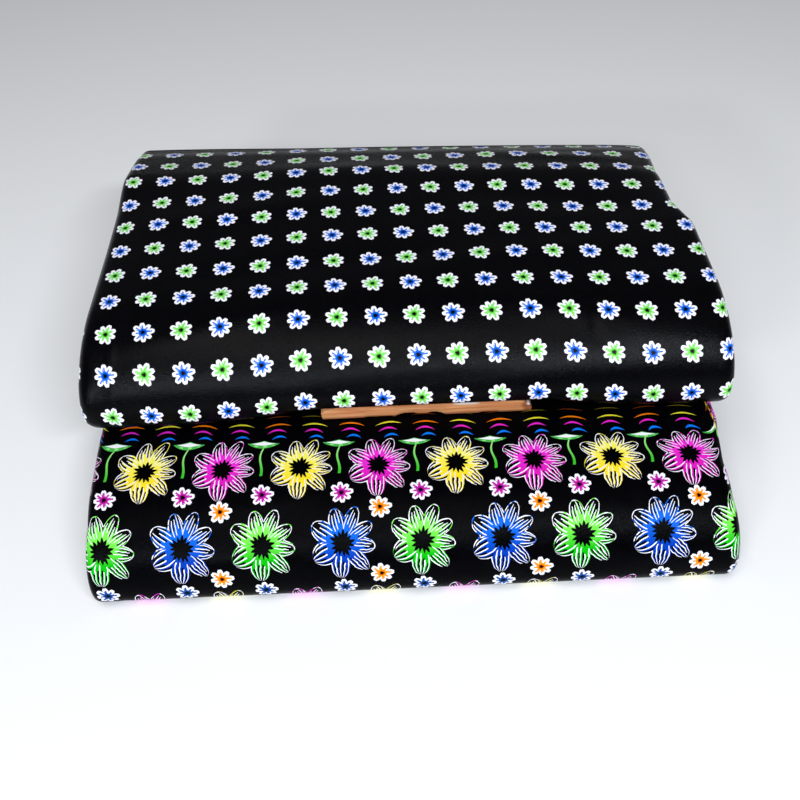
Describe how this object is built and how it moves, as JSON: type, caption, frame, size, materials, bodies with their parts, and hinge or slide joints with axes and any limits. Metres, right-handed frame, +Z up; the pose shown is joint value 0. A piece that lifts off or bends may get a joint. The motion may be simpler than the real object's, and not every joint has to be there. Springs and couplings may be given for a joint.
{
  "type": "folded wax print fabric with wooden slat",
  "caption": "Length of printed cotton cloth folded into two soft bundles, the shallower lying on the deeper one and its front fold resting on a plain wooden slat.",
  "frame": {"origin": "on the surface the cloth lies on, under the middle of the whole", "axes": "+X along the front folds to the right, -Y towards the rounded front folds, +Z up"},
  "size_m": [0.408, 0.36, 0.125],
  "materials": {
    "printed_cloth_ground": "black cotton with a soft satin sheen, small white flowers with blue and green strokes",
    "printed_cloth_border": "black cotton with a soft satin sheen, flower border in yellow, magenta, green and blue",
    "printed_cloth_layers": "black cotton, folded edges of the hidden layers",
    "slat_wood": "plain unvarnished light brown wood"
  },
  "bodies": {
    "root": {"upper_cover": "printed_cloth_ground", "upper_layers": "printed_cloth_layers", "lower_cover": "printed_cloth_border", "lower_second_layer": "printed_cloth_layers", "lower_layers": "printed_cloth_layers", "slat": "slat_wood"}
  },
  "joints": []
}
